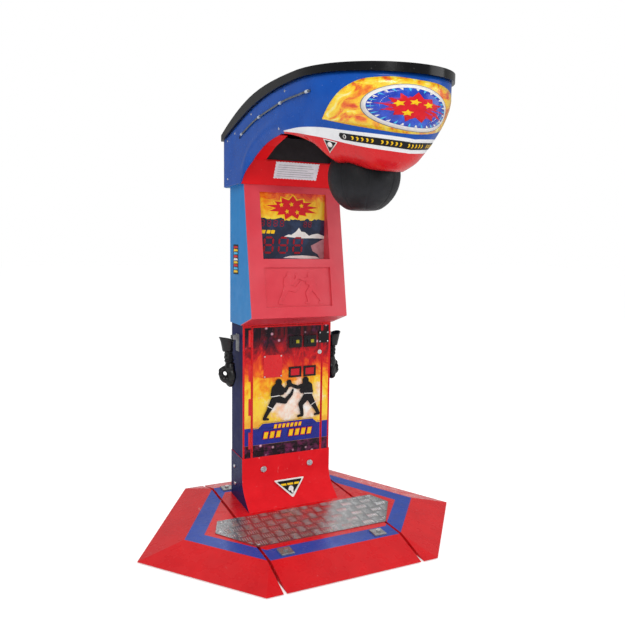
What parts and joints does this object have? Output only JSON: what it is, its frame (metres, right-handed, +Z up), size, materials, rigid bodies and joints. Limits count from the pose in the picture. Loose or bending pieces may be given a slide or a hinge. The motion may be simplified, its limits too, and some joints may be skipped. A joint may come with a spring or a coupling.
{
  "type": "boxing punch machine",
  "caption": "Upright arcade strength tester: overhanging hood with a swinging punching ball, score cabinet, coin-door column and a six-sided stepped-on base.",
  "frame": {"origin": "on the floor, on the machine's centre plane, under the middle of the column, at the underside of the middle foot", "axes": "+Z up, -Y towards the player, +X to the player's right"},
  "size_m": [1.7374, 1.6505, 2.1399],
  "materials": {
    "base_red": "gloss enamel",
    "frame_grey": "satin",
    "tread_aluminium": "embossed tread, bright",
    "zinc_steel": "zinc plated",
    "black_rubber": "matte",
    "anchor_dark": "satin, worn",
    "column_navy": "satin",
    "column_red": "satin",
    "door_print": "gloss printed film with flames",
    "black_plastic": "fine texture",
    "red_plastic": "gloss",
    "button_plastic": "gloss",
    "galvanised": "galvanised",
    "psu_case": "plain",
    "glove_vinyl": "gloss vinyl",
    "cabinet_blue": "satin",
    "fascia_red": "satin moulding",
    "display_print": "printed acrylic",
    "circuit_board": "solder mask",
    "speaker_black": "paper cone",
    "cable_sleeve": "matte sleeve",
    "hood_blue": "gloss paint with printed film",
    "lid_black": "high gloss",
    "neck_red": "gloss",
    "liner_grey": "matte",
    "strip_light": "clear tube with metal clips",
    "ball_leather": "satin leather",
    "foam": "open-cell foam",
    "arm_black": "satin"
  },
  "bodies": {
    "root": {"base_cover_center": "base_red", "wing_cover_left": "base_red", "wing_cover_right": "base_red", "base_frame_center": "frame_grey", "wing_frames": "frame_grey", "leveling_feet": "black_rubber", "base_fasteners": "zinc_steel", "tread_plate": "tread_aluminium", "anchor_plates": "anchor_dark", "column_casing": "column_navy", "column_front_frame": "column_red", "fixed_hinge_leaves": "zinc_steel", "hinge_pins": "zinc_steel", "coin_box": "galvanised", "power_supply": "psu_case", "column_boot": "base_red", "boot_bolts": "zinc_steel", "glove_hangers": "zinc_steel", "cabinet_shell": "cabinet_blue", "fascia": "fascia_red", "speaker": "speaker_black", "display_panel": "display_print", "score_display": "circuit_board", "main_board": "circuit_board", "wiring_harness": "cable_sleeve", "hood_shell": "hood_blue", "hood_lid": "lid_black", "neck_panel": "neck_red", "hood_liner": "liner_grey", "light_strips": "strip_light", "hood_screws": "zinc_steel", "main_frame": "frame_grey", "bearing_blocks": "frame_grey", "speed_sensor": "black_plastic", "arm_bump_stop": "black_rubber", "latch_solenoid": "galvanised"},
    "coin_door": {"coin_door": "door_print", "coin_slot_bezels": "black_plastic", "coin_mechs": "black_plastic", "coin_return_frames": "black_plastic", "blank_plate": "red_plastic", "door_hasp": "black_plastic", "door_screws": "zinc_steel", "door_lock_body": "zinc_steel"},
    "coin_door_lock": {"door_lock_core": "zinc_steel"},
    "reject_button_left": {"reject_button_left": "button_plastic"},
    "reject_button_right": {"reject_button_right": "button_plastic"},
    "coin_return_flap_left": {"coin_return_flap_left": "red_plastic"},
    "coin_return_flap_right": {"coin_return_flap_right": "red_plastic"},
    "service_door": {"rear_service_door": "cabinet_blue", "service_lock_body": "zinc_steel"},
    "service_lock": {"service_lock_core": "zinc_steel"},
    "glove_left": {"glove_left": "glove_vinyl"},
    "glove_right": {"glove_right": "glove_vinyl"},
    "punch_arm": {"punch_arm": "arm_black", "pivot_shaft": "zinc_steel", "ball_cover": "ball_leather", "ball_foam": "foam"},
    "latch_hook": {"latch_hook": "zinc_steel"},
    "latch_plunger": {"latch_plunger": "zinc_steel"}
  },
  "joints": [
    {"name": "punch_arm_swing", "type": "hinge", "parent": "root", "child": "punch_arm", "pos_m": [0, -0.858, 1.97], "axis": [1, 0, 0], "range_deg": [0, 80]},
    {"name": "coin_door_hinge", "type": "hinge", "parent": "root", "child": "coin_door", "pos_m": [-0.207, -0.0932, 0.683], "axis": [0, 0, -1], "range_deg": [0, 110]},
    {"name": "coin_door_lock_turn", "type": "hinge", "parent": "coin_door", "child": "coin_door_lock", "pos_m": [0.191, -0.09, 0.867], "axis": [0, -1, 0], "range_deg": [0, 90]},
    {"name": "reject_button_left_press", "type": "slide", "parent": "coin_door", "child": "reject_button_left", "axis": [0, 1, 0], "range_m": [0, 0.004], "stiffness_N_per_m": 300},
    {"name": "reject_button_right_press", "type": "slide", "parent": "coin_door", "child": "reject_button_right", "axis": [0, 1, 0], "range_m": [0, 0.004], "stiffness_N_per_m": 300},
    {"name": "coin_return_flap_left_swing", "type": "hinge", "parent": "coin_door", "child": "coin_return_flap_left", "pos_m": [0.043, -0.0926, 0.781], "axis": [1, 0, 0], "range_deg": [0, 50]},
    {"name": "coin_return_flap_right_swing", "type": "hinge", "parent": "coin_door", "child": "coin_return_flap_right", "pos_m": [0.131, -0.0926, 0.781], "axis": [1, 0, 0], "range_deg": [0, 50]},
    {"name": "service_door_hinge", "type": "hinge", "parent": "root", "child": "service_door", "pos_m": [-0.202, 0.0932, 1.4], "axis": [0, 0, 1], "range_deg": [0, 110]},
    {"name": "service_door_lock_turn", "type": "hinge", "parent": "service_door", "child": "service_lock", "pos_m": [0.182, 0.09, 1.4], "axis": [0, -1, 0], "range_deg": [0, 90]},
    {"name": "glove_left_swing", "type": "hinge", "parent": "root", "child": "glove_left", "pos_m": [-0.283, -0.01, 0.96], "axis": [0, 1, 0], "range_deg": [0, 40]},
    {"name": "glove_right_swing", "type": "hinge", "parent": "root", "child": "glove_right", "pos_m": [0.283, -0.01, 0.96], "axis": [0, -1, 0], "range_deg": [0, 40]},
    {"name": "latch_hook_swing", "type": "hinge", "parent": "root", "child": "latch_hook", "pos_m": [0, -0.882, 2.026], "axis": [1, 0, 0], "range_deg": [0, 15]},
    {"name": "latch_plunger_slide", "type": "slide", "parent": "root", "child": "latch_plunger", "axis": [0, -1, 0], "range_m": [0, 0.0058]}
  ],
  "couplings": [
    {"joint": "latch_plunger_slide", "follows": "latch_hook_swing", "m_per_rad": 0.022}
  ]
}
